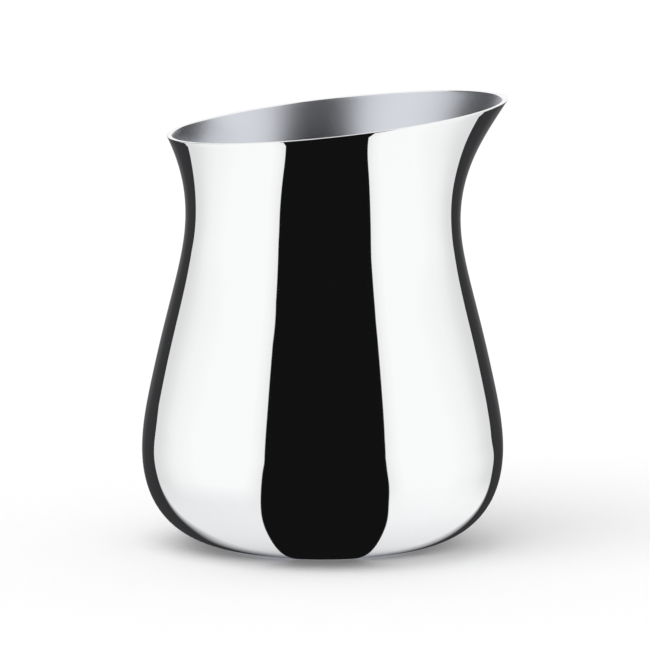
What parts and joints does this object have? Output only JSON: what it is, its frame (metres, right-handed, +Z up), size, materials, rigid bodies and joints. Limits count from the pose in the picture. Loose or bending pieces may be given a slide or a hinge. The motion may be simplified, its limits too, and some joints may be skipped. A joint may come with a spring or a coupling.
{
  "type": "milk jug",
  "caption": "Small handleless milk jug of mirror-polished steel: round belly, drawn-in neck and a flared mouth cut on a slope to form a pouring lip.",
  "frame": {"origin": "centre of the foot, in the plane that the jug stands on", "axes": "+Z up along the jug's axis, +X towards the high side of the rim, which is the pouring lip"},
  "size_m": [0.081, 0.0802, 0.0999],
  "materials": {
    "polished_steel": "polished"
  },
  "bodies": {
    "root": {"jug_body": "polished_steel"}
  },
  "joints": []
}
